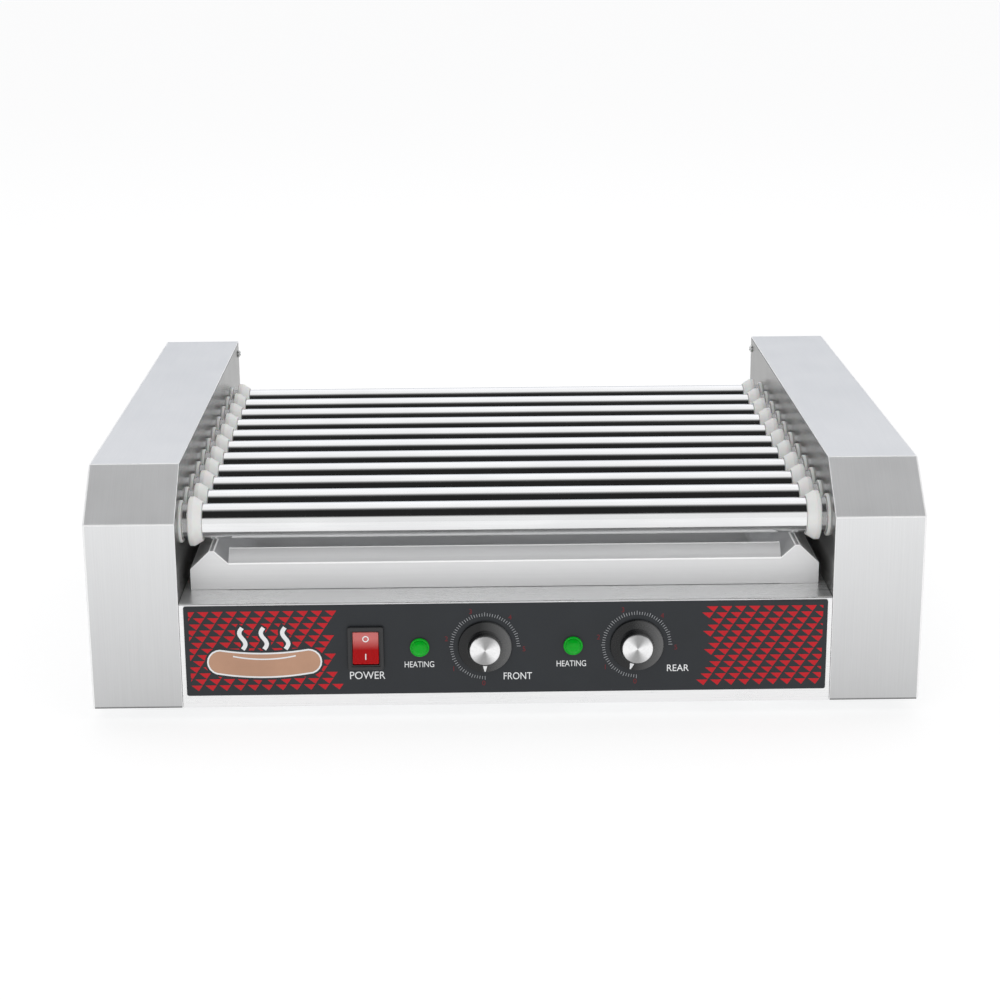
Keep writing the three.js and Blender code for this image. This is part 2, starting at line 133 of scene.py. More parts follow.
def fillet(corners, closed=True, steps=4):
    """A line through corners (a, b, radius), with each corner rounded by an arc."""
    line = []
    for i, (a, b, radius) in enumerate(corners):
        end = not closed and i in (0, len(corners) - 1)
        if radius <= 0 or end:
            line.append((a, b))
            continue
        corner = Vector((a, b))
        before = (Vector(corners[i - 1][:2]) - corner).normalized()
        after = (Vector(corners[(i + 1) % len(corners)][:2]) - corner).normalized()
        half = before.angle(after) / 2
        middle = corner + (before + after).normalized() * (radius / sin(half))
        first = corner + before * (radius / tan(half)) - middle
        last = corner + after * (radius / tan(half)) - middle
        sweep = first.angle(last)
        for k in range(steps + 1):
            t = k / steps
            spoke = (first * sin((1 - t) * sweep) + last * sin(t * sweep)) / sin(sweep)
            line.append(tuple(middle + spoke))
    return line


def path(*parts, steps=4):
    """An open line through parts, each a list of corners; the corners in between are rounded."""
    return fillet(sum(parts, []), closed=False, steps=steps)


def rectangle(cx, cy, width, height, radius=0.0):
    w, h = width / 2, height / 2
    return fillet([(cx + a * w, cy + b * h, radius) for a, b in ((-1, -1), (1, -1), (1, 1), (-1, 1))])


def offset(line, distance, closed=False):
    """The line moved to its left by distance, with mitred corners."""
    points = [Vector(p) for p in line]
    count = len(points)
    moved = []
    for i, point in enumerate(points):
        into = point - points[i - 1]
        out = points[(i + 1) % count] - point
        if not closed and i == 0:
            into = out
        if not closed and i == count - 1:
            out = into
        into, out = into.normalized(), out.normalized()
        along = (into + out).normalized()
        reach = distance / max(along.dot(out), 0.3)
        moved.append((point.x - along.y * reach, point.y + along.x * reach))
    return moved


def stroke(line, width):
    """The outline of a line of even width."""
    return offset(line, width / 2) + offset(line, -width / 2)[::-1]


def control_openings():
    """The openings for the switch, lamps and knobs, the same in the panel and its label."""
    round_ones = [circle(p.x, p.z, 5.6*MM) for p in [*LAMP.values(), *KNOB.values()]]
    return [rectangle(SWITCH.x, SWITCH.z, 22.2*MM, 28.2*MM, 1*MM), *round_ones]


def anticlockwise(outline):
    area = sum(a[0] * b[1] - b[0] * a[1] for a, b in zip(outline, outline[1:] + outline[:1]))
    return outline if area > 0 else outline[::-1]


# ---- Mesh building ----
PLACE = {
    "X": lambda a, b, c: (c, a, b),
    "Y": lambda a, b, c: (a, c, b),
    "Z": lambda a, b, c: (a, b, c),
}
SHARP_ANGLE = radians(32)


def skin(bm, rows, closed=True, caps=True):
    """Joins rows of points, all as long, into one surface."""
    made = [[bm.verts.new(p) for p in row] for row in rows]
    for a, b in zip(made, made[1:]):
        for i in range(len(a) if closed else len(a) - 1):
            j = (i + 1) % len(a)
            bm.faces.new((a[i], a[j], b[j], b[i]))
    if caps:
        bm.faces.new(made[0][::-1])
        bm.faces.new(made[-1])
    return made


def prism(bm, outline, low, high, axis, edge=0.0, steps=2):
    """A solid of this closed outline from low to high along axis, with its ends rounded."""
    outline = anticlockwise(outline)
    stations = [(0.0, 0.0)]
    if edge:
        stations = [(edge * (1 - cos(t)), edge * (1 - sin(t))) for t in quarter(steps)]
    ends = [(low + depth, inset) for depth, inset in stations]
    ends += [(high - depth, inset) for depth, inset in reversed(stations)]
    rows = []
    for at, inset in ends:
        ring = offset(outline, inset, True) if inset else outline
        rows.append([PLACE[axis](a, b, at) for a, b in ring])
    skin(bm, rows)


def turn(bm, profile, axis, middle, segments=64):
    """A turned solid about axis through middle; profile is (along, radius) points."""
    around = circle(0, 0, 1, segments)
    rows = [[Vector(middle) + Vector(PLACE[axis](radius * c, radius * s, along)) for c, s in around]
            for along, radius in profile]
    skin(bm, rows, caps=False)


def bend(bm, line, low, high, axis):
    """A folded sheet: the line is one face, and the sheet lies to its left."""
    prism(bm, line + offset(line, SHEET)[::-1], low, high, axis, 0.2*MM, 1)


def smoothed(mesh):
    mesh.polygons.foreach_set("use_smooth", [True] * len(mesh.polygons))
    mesh.set_sharp_from_angle(angle=SHARP_ANGLE)
    return mesh


def to_mesh(bm):
    bmesh.ops.remove_doubles(bm, verts=bm.verts, dist=0.0005*MM)
    bmesh.ops.recalc_face_normals(bm, faces=bm.faces)
    mesh = bpy.data.meshes.new("mesh")
    bm.to_mesh(mesh)
    bm.free()
    return smoothed(mesh)


def build(add, *values):
    """A mesh made by add, a function that adds to a bmesh."""
    bm = bmesh.new()
    add(bm, *values)
    return to_mesh(bm)


def linked(name, data):
    thing = bpy.data.objects.new(name, data)
    bpy.context.scene.collection.objects.link(thing)
    return thing


def settled(holder, *helpers):
    """The mesh that an object shows, after which it and its helpers are removed."""
    graph = bpy.context.evaluated_depsgraph_get()
    made = bpy.data.meshes.new_from_object(holder.evaluated_get(graph))
    for thing in (holder, *helpers):
        bpy.data.objects.remove(thing)
    return made


def weighted(mesh):
    """The mesh with normals that follow its large faces, so flats stay flat beside small bends."""
    holder = linked("work", mesh)
    holder.modifiers.new("weighted", "WEIGHTED_NORMAL").keep_sharp = True
    return settled(holder)


def combine(mesh, tools, operation="DIFFERENCE"):
    """Cuts the tool meshes out of mesh, or joins them to it."""
    holder = linked("work", mesh)
    helpers = [linked("tool", tool) for tool in tools]
    for helper in helpers:
        modifier = holder.modifiers.new("cut", "BOOLEAN")
        modifier.object = helper
        modifier.operation = operation
        modifier.solver = "MANIFOLD"
    return smoothed(settled(holder, *helpers))


def outlined(outlines):
    """A filled flat curve from outlines with holes."""
    curve = bpy.data.curves.new("outline", "CURVE")
    curve.dimensions = "2D"
    curve.fill_mode = "BOTH"
    for points in outlines:
        spline = curve.splines.new("POLY")
        spline.points.add(len(points) - 1)
        for target, (a, b) in zip(spline.points, points):
            target.co = (a, b, 0, 1)
        spline.use_cyclic_u = True
    return curve


def lettered(text, size):
    curve = bpy.data.curves.new("text", "FONT")
    curve.body = text
    curve.size = size
    curve.align_x = "CENTER"
    curve.align_y = "CENTER"
    return curve


FACING = {
    "X": Matrix(((0, 0, 1, 0), (1, 0, 0, 0), (0, 1, 0, 0), (0, 0, 0, 1))),
    "-Y": Matrix(((1, 0, 0, 0), (0, 0, -1, 0), (0, 1, 0, 0), (0, 0, 0, 1))),
    "Z": Matrix.Identity(4),
}


def shift(place):
    return Matrix.Translation(place)


def rotation(angle, axis):
    return Matrix.Rotation(angle, 4, axis)


def plate(curve, thickness, direction, at=(0, 0, 0), edge=0.0):
    """A flat curve thickened and turned to face a direction, with its back at that place."""
    curve.extrude = thickness / 2 - edge
    curve.bevel_depth = edge
    curve.offset = -edge
    curve.bevel_resolution = 0
    bm = bmesh.new()
    bm.from_mesh(settled(linked("work", curve)))
    bmesh.ops.translate(bm, verts=bm.verts, vec=(0, 0, thickness / 2))
    mesh = to_mesh(bm)
    mesh.transform(shift(at) @ FACING[direction])
    return mesh


def piece(name, mesh, looks, stands_for=None, body="frame"):
    """Makes a mesh into a piece of a body, in place of a CAD node if one is named."""
    made = linked(name, mesh)
    mesh.name = name
    mesh.materials.clear()
    looks = looks if isinstance(looks, list) else [looks]
    for look in looks:
        mesh.materials.append(look.material)
    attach(made, body)
    if stands_for:
        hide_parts(stands_for)
    return made


# ---- Materials ----
class Nodes:
    """A node tree under construction."""

    def __init__(self, tree):
        self.tree = tree

    def node(self, kind, inputs, **settings):
        """Adds a node; each input is a value or the output of another node."""
        made = self.tree.nodes.new(f"ShaderNode{kind}")
        for key, value in settings.items():
            setattr(made, key, value)
        for key, value in inputs.items():
            self.give(made.inputs[key], value)
        return made

    def give(self, socket, value):
        if isinstance(value, bpy.types.NodeSocket):
            self.tree.links.new(value, socket)
        else:
            socket.default_value = value

    def place(self, space):
        return self.node("TexCoord", {}).outputs[space]

    def along(self, axis, space="Object"):
        """A coordinate: metres in the piece's space, or 0 to 1 across its box when Generated."""
        return self.node("SeparateXYZ", {"Vector": self.place(space)}).outputs[axis]

    def spread(self, value, low, high, start=0.3, end=0.7, **settings):
        """A value from start to end, stretched to run from low to high."""
        return self.node("MapRange", {"Value": value, "From Min": start, "From Max": end,
                                      "To Min": low, "To Max": high}, **settings).outputs["Result"]

    def sum(self, operation, a, b=0.0):
        """One step of arithmetic on a value and another value or a number."""
        return self.node("Math", {0: a, 1: b}, operation=operation).outputs["Value"]

    def mix(self, share, a, b):
        mixed = self.node("Mix", {}, data_type="RGBA")
        for key, value in (("Factor", share), ("A", a), ("B", b)):
            self.give(mixed.inputs[key], value)
        return mixed.outputs["Result"]


class Look(Nodes):
    """A procedural material under construction, for pieces of one slot."""

    def __init__(self, name, slot, colour, **sockets):
        self.material = bpy.data.materials.new(name)
        self.material.use_nodes = True
        super().__init__(self.material.node_tree)
        self.slot, self.colour = slot, colour
        self.shader = self.tree.nodes["Principled BSDF"].inputs
        self.give(self.shader["Base Color"], (*colour, 1))
        for socket, value in sockets.items():
            self.give(self.shader[socket.replace("_", " ")], value)

    def noise(self, *stretch, detail=4, rough=0.55):
        """Noise over the piece's own space; stretch is its frequency, once or along X, Y and Z."""
        scale = stretch * 3 if len(stretch) == 1 else stretch
        mapping = self.node("Mapping", {"Vector": self.place("Object"), "Scale": scale})
        return self.node("TexNoise", {"Vector": mapping.outputs["Vector"], "Scale": 1.0,
                                      "Detail": detail, "Roughness": rough}).outputs["Fac"]

    def blend(self, a, b, share, start=0.3, end=0.7):
        """Two patterns added up, the first with this share; start and end are its range."""
        return self.sum("ADD", self.spread(a, 0, share, start, end), self.spread(b, 0, 1 - share))

    def tint(self, value, dark, light):
        """Colour between dark and light shares of the base colour."""
        shades = [(*[min(c * share, 1) for c in self.colour], 1) for share in (dark, light)]
        self.paint(self.mix(self.spread(value, 0, 1), *shades))

    def paint(self, colour):
        self.give(self.shader["Base Color"], colour)

    def painted(self):
        """The colour made so far."""
        return self.shader["Base Color"].links[0].from_socket

    def dim(self, share):
        """Multiplies the colour made so far by a share."""
        scaled = self.node("VectorMath", {0: self.painted()}, operation="SCALE")
        self.give(scaled.inputs["Scale"], share)
        self.paint(scaled.outputs["Vector"])

    def glaze(self, share, colour):
        """Mixes another colour into the one made so far."""
        self.paint(self.mix(share, self.painted(), (*colour, 1)))

    def roughen(self, value, low, high):
        self.give(self.shader["Roughness"], self.spread(value, low, high))

    def bump(self, value, strength, depth):
        inputs = {"Height": value, "Strength": strength, "Distance": depth}
        self.give(self.shader["Normal"], self.node("Bump", inputs).outputs["Normal"])


def brushed(name, colour, *grain, rough=(0.28, 0.34), strength=0.12, tints=(0.972, 1.016), edge=1.0,
            painted_shade=0.0, Metallic=1.0, **sockets):
    """Sheet steel with fine brushing; grain is the frequency of its lines along X, Y and Z.

    The share given darkens the sheet towards the counter as painted shade, and also lays a thin painted
    contact shadow along its bottom edge.
    """
    look = Look(name, "brushed_steel", colour, Metallic=Metallic, Specular_Tint=(edge, edge, edge, 1),
                **sockets)
    lines = look.noise(*grain, detail=5, rough=0.7)
    smudge = look.noise(26)
    look.tint(look.blend(lines, smudge, 0.7), *tints)
    # Painted shade: darker towards the counter, with a thin painted contact shadow along the bottom edge.
    if painted_shade:
        look.dim(look.spread(look.along("Z"), 1 - painted_shade, 1, BOTTOM, SLOPE_LOW_Z))
        look.dim(look.spread(look.along("Z"), 0.25, 1, BOTTOM + 0.4*MM, BOTTOM + 1.4*MM))
    look.roughen(look.blend(lines, smudge, 0.6), *rough)
    look.bump(lines, strength, 0.04*MM)
    return look


def tube_steel():
    look = Look("polished_tube_steel", "polished_steel", (0.83, 0.835, 0.84), Metallic=1.0)
    rings = look.noise(1400, 30, 30, detail=3)
    length = look.noise(14, 700, 700)
    handling = look.noise(12, 40, 40)
    look.tint(look.blend(length, handling, 0.3), 0.955, 1.02)
    look.roughen(look.blend(rings, handling, 0.5), 0.06, 0.12)
    look.bump(rings, 0.05, 0.01*MM)
    return look


def spun_metal():
    """Spun aluminium with fine circles, and a bow tie of painted highlight and painted shade by angle
    round its centre.
    """
    look = Look("spun_aluminium", "polished_steel", (0.95, 0.95, 0.955), Metallic=1.0, Roughness=0.36,
                Anisotropic=0.95, Anisotropic_Rotation=0.25)
    tangent = look.node("Tangent", {}, direction_type="RADIAL", axis="Y")
    look.give(look.shader["Tangent"], tangent.outputs["Tangent"])
    fine = look.noise(900, detail=3)
    look.tint(fine, 0.93, 1.05)
    # Painted highlight and shade: the colour dims by angle round the cap's centre in a bow tie.
    centred = [look.sum("SUBTRACT", look.along(axis, "Generated"), 0.5) for axis in ("Z", "X")]
    twice = look.sum("MULTIPLY", look.sum("ARCTAN2", *centred), 2.0)
    look.dim(look.spread(look.sum("COSINE", look.sum("ADD", twice, 0.35)), 0.42, 1.0, -0.9, 0.6))
    look.bump(fine, 0.08, 0.01*MM)
    return look


def galvanised():
    look = Look("galvanised_sheet", "galvanised_steel", (0.6, 0.62, 0.64), Metallic=1.0)
    spangle = look.node("TexVoronoi", {"Vector": look.place("Object"), "Scale": 160})
    grey = look.node("SeparateColor", {"Color": spangle.outputs["Color"]}).outputs
    cloud = look.noise(30, detail=5)
    look.tint(look.blend(grey["Red"], cloud, 0.6, 0, 1), 0.8, 1.12)
    look.roughen(look.blend(grey["Green"], cloud, 0.6, 0, 1), 0.34, 0.5)
    look.bump(cloud, 0.1, 0.05*MM)
    return look


def machined(name, slot, colour, rough):
    look = Look(name, slot, colour, Metallic=1.0)
    fine = look.noise(700)
    cloud = look.noise(45, detail=5)
    look.tint(look.blend(fine, cloud, 0.4), 0.75, 1.15)
    look.roughen(cloud, *rough)
    look.bump(fine, 0.15, 0.03*MM)
    return look


def moulded(name, slot, colour, rough, tints=(0.92, 1.05), grain=1500, strength=0.12, **sockets):
    """Moulded plastic: fine skin texture and faint handling marks."""
    look = Look(name, slot, colour, **sockets)
    fine = look.noise(grain, detail=3)
    cloud = look.noise(40, detail=5)
    look.tint(cloud, *tints)
    look.roughen(look.blend(fine, cloud, 0.5), *rough)
    look.bump(fine, strength, 0.03*MM)
    return look


def ink(name, colour, shine=0.5):
    """Ink printed on the label's film."""
    return moulded(f"print_{name}", "label_film", colour, (0.4, 0.5), grain=900,
                   Specular_IOR_Level=shine)


STEEL = (0.74, 0.745, 0.75)
PALE = (0.97, 0.97, 0.97)
ACROSS = (1700, 16, 16)
LENGTHWISE = (16, 1700, 1700)
cover_steel = brushed("cover_steel", STEEL, *ACROSS, painted_shade=0.26)
cover_side_steel = brushed("cover_side_steel", STEEL, 1700, 1700, 16, painted_shade=0.14)
# The cover's own steel made paler and part diffuse on its slope face: a lit copy, painted light.
slope_steel = brushed("cover_slope_lit_copy", (0.93, 0.935, 0.94), *ACROSS, rough=(0.34, 0.4),
                      Metallic=0.75)
# Pale, part diffuse steel for the cover's bends and open edge: a painted highlight along them.
edge_steel = brushed("bend_highlight_steel", PALE, 400, rough=(0.5, 0.6), Metallic=0.25)
wall_steel = brushed("wall_steel", (0.45, 0.45, 0.445), 1300, 900, 14, rough=(0.2, 0.26), edge=0.6,
                     Metallic=0.85)
panel_steel = brushed("panel_steel", (0.9, 0.902, 0.905), *LENGTHWISE, rough=(0.26, 0.34),
                      Metallic=0.75)
rear_steel = brushed("rear_panel_steel", STEEL, *LENGTHWISE, painted_shade=0.14)
tray_steel = brushed("tray_steel", (0.83, 0.832, 0.835), 7, 500, 500, rough=(0.34, 0.4),
                     strength=0.04, tints=(0.985, 1.015), Metallic=0.5)
# Pale, faintly glowing steel for the tray's narrow fold faces: a painted highlight along the folds.
fold_steel = brushed("tray_fold_highlight_glow", PALE, 400, rough=(0.5, 0.6), Metallic=0.25,
                     Emission_Color=(1, 1, 1, 1), Emission_Strength=0.2)
tube_metal = tube_steel()
spun_cap = spun_metal()
zinc = galvanised()
ptfe = moulded("bush_ptfe", "white_plastic", (0.86, 0.855, 0.835), (0.35, 0.5), tints=(0.94, 1.04),
               grain=500, Subsurface_Weight=0.15, Subsurface_Scale=0.004)
black_plastic = moulded("black_plastic", "black_plastic", (0.018, 0.0185, 0.02), (0.28, 0.4))
label_film = moulded("label_film", "label_film", (0.023, 0.026, 0.03), (0.4, 0.5), tints=(0.92, 1.1),
                     grain=900, Specular_IOR_Level=0.3)
print_red = ink("red", (0.56, 0.01, 0.018), 0.25)
print_dark_red = ink("dark_red", (0.17, 0.015, 0.02), 0.25)
print_white = ink("white", (0.85, 0.86, 0.87))
print_grey = ink("grey", (0.4, 0.41, 0.43))
print_tan = ink("tan", (0.52, 0.3, 0.2), 0.25)
red_plastic = moulded("red_plastic", "red_plastic", (0.44, 0.002, 0.004), (0.1, 0.18), strength=0.03,
                      Specular_IOR_Level=0.1, Coat_Weight=0.08,
                      Subsurface_Weight=0.2, Subsurface_Scale=0.003)
# A pale pink band over the rocker's upper half: a painted highlight.
red_plastic.glaze(red_plastic.spread(red_plastic.along("Z"), 0, 0.45, SWITCH.z - 1*MM,
                                     SWITCH.z + 7*MM), (0.85, 0.4, 0.38))
green_lens = moulded("green_lens", "green_lens", (0.002, 0.42, 0.02), (0.1, 0.2), strength=0.03,
                     Specular_IOR_Level=0.15, Coat_Weight=0.08,
                     Subsurface_Weight=0.3, Subsurface_Scale=0.003)
knob_plastic = moulded("knob_plastic", "black_plastic", (0.01, 0.0105, 0.011), (0.2, 0.3),
                       Specular_IOR_Level=0.35)
# Grey mixed in towards the knob's right side: a painted highlight on its rim.
knob_plastic.glaze(knob_plastic.spread(knob_plastic.along("X", "Generated"), 0, 0.26, 0.4, 1.0),
                   (0.5, 0.5, 0.5))
rubber = moulded("black_rubber", "rubber", (0.016, 0.016, 0.017), (0.65, 0.85), grain=700,
                 strength=0.3)
chain_metal = machined("chain_steel", "chain_steel", (0.3, 0.3, 0.31), (0.28, 0.45))
sheath_metal = machined("heater_sheath", "heater_sheath", (0.24, 0.23, 0.225), (0.4, 0.6))
screw_metal = machined("screw_steel", "polished_steel", (0.7, 0.7, 0.69), (0.2, 0.34))


# ---- Housing ----
# A cover's side is larger than the first area, and its bends and edges are smaller than the second.
SIDE_FACE, BEND_FACE = 100*MM * MM, 200*MM * MM
WALL_HOLE = 15.3*MM


def cover_profile(inset):
    """The cover's section, front bottom to rear bottom, inset from its outer face."""
    rise, run = TOP - SLOPE_LOW_Z, SLOPE_TOP_Y - FRONT
    lean = hypot(rise, run)
    low = SLOPE_LOW_Z - inset * (lean - rise) / run
    high = SLOPE_TOP_Y + inset * (lean - run) / rise
    front, rear, top, radius = FRONT + inset, REAR - inset, TOP - inset, max(BEND - inset, 0.1*MM)
    return path([(front, BOTTOM, 0), (front, low, radius), (high, top, radius), (rear, top, radius),
                 (rear, BOTTOM, 0)], steps=5)


def cover_rows(side):
    """Rows of points over the cover's outer face, round its open edge and over its inner face."""
    def rounded(x, radius, angles):
        return [(x + radius * (1 - sin(t)), abs(radius) * (1 - cos(t))) for t in angles]
    outside = rounded(OUTER_X, -BEND, reversed(quarter(5)))
    lip = rounded(WALL_X, LIP, quarter(3))
    inside = [(WALL_X, SHEET - LIP), (WALL_X + LIP, SHEET), (OUTER_X - SHEET, SHEET)]
    stations = outside + lip + inside
    return [[(side * x, y, z) for y, z in cover_profile(inset)] for x, inset in stations]


def cover_finish(polygon):
    """0 on the folded strip, 1 on the side, 2 on the bends and open edge, paler as a painted highlight, 3
    on the slope.
    """
    if abs(polygon.normal.x) > 0.97:
        return 1 if polygon.area > SIDE_FACE else 2
    on_edge = abs(polygon.center.x) < WALL_X + LIP + 0.01*MM
    if on_edge or polygon.area < BEND_FACE:
        return 2
    return 3 if polygon.normal.y < -0.2 and polygon.normal.z > 0.2 else 0


def make_covers():
    for name, side in SIDES:
        bm = bmesh.new()
        rows = skin(bm, cover_rows(side), closed=False)
        # The lower edge: front strip, side strip and rear strip of one sheet's thickness.
        bm.faces.new([row[0] for row in rows] + [row[-1] for row in reversed(rows)])
        looks = [cover_steel, cover_side_steel, edge_steel, slope_steel]
        made = piece(f"{name}_cover_shell", weighted(to_mesh(bm)), looks, f"{name}_end_cover")
        for polygon in made.data.polygons:
            polygon.material_index = cover_finish(polygon)


def make_side_frames():
    low_z = base_high.z + GAP
    outline = anticlockwise([(y, max(z, low_z)) for y, z in cover_profile(SHEET + GAP)])
    holes = [hole(circle(y, ROLLER_Z, WALL_HOLE, 64)) for y in ROLLER_Y]
    motor_hole = hole(circle(MOTOR.y, MOTOR.z, 7*MM))
    for name, side in SIDES:
        outlines = [outline, *holes, motor_hole] if side > 0 else [outline, *holes]
        x = WALL_X if side > 0 else -WALL_X - SHEET
        mesh = plate(outlined(outlines), SHEET, "X", (x, 0, 0), 0.25*MM)
        piece(f"{name}_wall_plate", weighted(mesh), wall_steel, f"{name}_side_frame")


def make_base():
    low, high = base_low, base_high
    outline = rectangle(0, 0, high.x - low.x, high.y - low.y, 3*MM)
    vents = [hole(rectangle(x * 40*MM, y * 90*MM, 5*MM, 60*MM, 2.4*MM))
             for x in range(-4, 5) for y in (-1, 1)]
    studs = [hole(circle(p.x, p.y, 3.5*MM)) for p in map(centre, FEET)]
    mesh = plate(outlined([outline, *vents, *studs]), high.z - low.z, "Z", (0, 0, low.z), 0.25*MM)
    piece("base_sheet", weighted(mesh), zinc, "base_plate")


def make_feet():
    height = BOTTOM - GAP
    stud_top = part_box(FEET[0])[1].z
    pad = path(mm(0, (1.5, 0, 0), (1.5, 5, 0.4), (0, 5.6, 0.4), (0, 12, 1.2), (2, 12.6, 0.8)),
               mm(height, (0, 14, 0.8), (0, 0, 0)))
    stud = path(mm(0, (1.6, 0, 0), (1.6, 1.6, 0.3), (0.7, 1.9, 0.2), (0.7, 3.9, 0.5),
                   (1.9, 4.4, 0.3), (1.9, 3, 0)),
                mm(stud_top, (-0.5, 3, 0.3), (0, 2.4, 0), (0, 0, 0)))
    for node in FEET:
        middle = centre(node)
        axis = (middle.x, middle.y, 0)
        piece(f"{node}_pad", build(turn, pad, "Z", axis, 72), rubber, node)
        piece(f"{node}_stud", build(turn, stud, "Z", axis, 32), screw_metal)


def pierced(line, half, near, far, openings):
    """A sheet folded along a line, x from -half to half, with openings through a wall of it."""
    tools = bmesh.new()
    for outline in openings:
        prism(tools, outline, near, far, "Y")
    return weighted(combine(build(bend, line, -half, half, "X"), [to_mesh(tools)]))


def make_panel():
    """Front face, deck and the stop behind the tray, folded from one sheet."""
    stop_y = panel_high.y - SHEET
    line = path([(FRONT, BOTTOM, 0), (FRONT, DECK_Z, BEND), (stop_y, DECK_Z, 1*MM),
                 (stop_y, panel_high.z, 0)], steps=6)[::-1]
    mesh = pierced(line, panel_high.x, FRONT - 2*MM, FRONT + 4*MM, control_openings())
    piece("panel_sheet", mesh, panel_steel, "front_panel")


def make_rear_panel():
    line = path([(REAR, BOTTOM, 0), (REAR, rear_high.z, BEND), (rear_low.y, rear_high.z, 0)], steps=6)
    pitch, width, height, z = 26*MM, 5*MM, 36*MM, 60*MM
    vents = [rectangle(i * pitch, z, width, height, 2.4*MM) for i in range(-3, 6)]
    mesh = pierced(line, rear_high.x, REAR - 4*MM, REAR + 2*MM,
                   [circle(GLAND.x, GLAND.z, 8*MM), *vents])
    piece("rear_sheet", mesh, rear_steel, "rear_panel")


# ---- Screws ----
def screw_mesh(radius, height):
    """A pan head with a cross recess, standing on z = 0."""
    dome = path([
        (0, 0, 0), (0, radius, 0.15 * radius), (0.45 * height, radius, 0.5 * radius),
        (height, 0.45 * radius, 0.35 * radius), (height, 0, 0),
    ], steps=6)
    arm, width = 0.62 * radius, 0.17 * radius
    quadrant = [(arm, -width), (arm, width), (width, width)]
    cross = quadrant + [(-b, a) for a, b in quadrant]
    cross += [(-a, -b) for a, b in cross]
    recess = build(prism, cross, 0.4 * height, 2 * height, "Z")
    return combine(build(turn, dome, "Z", (0, 0, 0), 40), [recess])


def make_screws():
    head = screw_mesh(3.4*MM, 2.2*MM)
    back, down = rotation(-pi / 2, "X"), rotation(pi, "X")
    for name, side in SIDES:
        inward = rotation(-side * pi / 2, "Y")
        cover_x, panel_x = side * (WALL_X + OUTER_X) / 2, side * (WALL_X - 12*MM)
        base_x = side * (OUTER_X - 12*MM)
        for spot, at, way in (
            ("wall", (side * WALL_X, REAR - 6.5*MM, TOP - 10.2*MM), inward),
            ("cover_upper", (cover_x, REAR, TOP - 14*MM), back),
            ("cover_lower", (cover_x, REAR, BOTTOM + 14*MM), back),
            ("rear_panel_upper", (panel_x, REAR, rear_high.z - 10*MM), back),
            ("rear_panel_lower", (panel_x, REAR, BOTTOM + 10*MM), back),
            ("base_front", (base_x, FRONT + 12*MM, BOTTOM), down),
            ("base_middle", (base_x, 0, BOTTOM), down),
            ("base_rear", (base_x, REAR - 12*MM, BOTTOM), down),
        ):
            mesh = head.copy()
            mesh.transform(shift(at) @ way)
            piece(f"{name}_{spot}_screw", mesh, screw_metal)


# ---- Rollers ----
def ring(corners, steps=4):
    """The closed profile of a turned ring."""
    profile = fillet(corners, steps=steps)
    return profile + profile[:1]


def make_rollers():
    for number, y in ROLLERS:
        profile = ring([(TUBE_LEFT, TUBE_INNER, LIP), (TUBE_LEFT, TUBE_OUTER, LIP),
                        (TUBE_RIGHT, TUBE_OUTER, LIP), (TUBE_RIGHT, TUBE_INNER, LIP)], steps=3)
        node = f"roller_{number}"
        tube = build(turn, profile, "X", (0, y, ROLLER_Z), 96)
        piece(f"roller_tube_{number}", tube, tube_metal, node, node)
        phase = (y - ROLLER_Y[0]) / CHAIN_PITCH % 1 * TOOTH_ANGLE
        wheel = sprocket(y, ROLLER_Z, phase, TUBE_OUTER - 0.2*MM)
        piece(f"roller_sprocket_{number}", wheel, chain_metal, body=node)


def tooth_line(y, z, phase):
    """Sprocket outline: round seats for the chain rollers between pointed teeth."""
    line = []
    for i in range(TEETH):
        middle = 90 + phase + i * TOOTH_ANGLE
        line += arc(*polar(PITCH_RADIUS, middle), 1.65*MM, middle + 242, middle + 118, 6)
        line += [polar(PITCH_RADIUS + 1.4*MM, middle + share * TOOTH_ANGLE) for share in (0.43, 0.57)]
    return anticlockwise([(y + a, z + b) for a, b in line])


def sprocket(y, z, phase, bore):
    """A sprocket plate; its outline is turned so that a seat lies at the top."""
    outlines = [tooth_line(y, z, phase), hole(circle(y, z, bore, 64))]
    return plate(outlined(outlines), SPROCKET_THICK, "X", (SPROCKET_X, 0, 0), 0.25*MM)


def bush_profiles():
    """Bearing ring in the wall, and disc and cone on the tube (along from the wall, radius)."""
    bearing = mm(0, (-4, 12.8, 0.3), (-4, 15, 0.5), (1.8, 15, 0.6), (1.8, 12.8, 0.3))
    guard = mm(0, (6.4, 12.8, 0.3), (6.4, 16.5, 0.5), (7, 17.5, 0.5), (10, 17.5, 1.6),
               (16, 13.9, 0.5), (16, 12.8, 0.3))
    return [ring(bearing), ring(guard)]


def make_bushes():
    for number, y in ROLLERS:
        for name, side in SIDES:
            def rings(bm):
                for profile in bush_profiles():
                    placed = [(side * (WALL_X - along), radius) for along, radius in profile]
                    turn(bm, placed, "X", (0, y, ROLLER_Z))
            piece(f"{name}_bush_ring_{number}", build(rings), ptfe, f"{name}_bush_{number}")


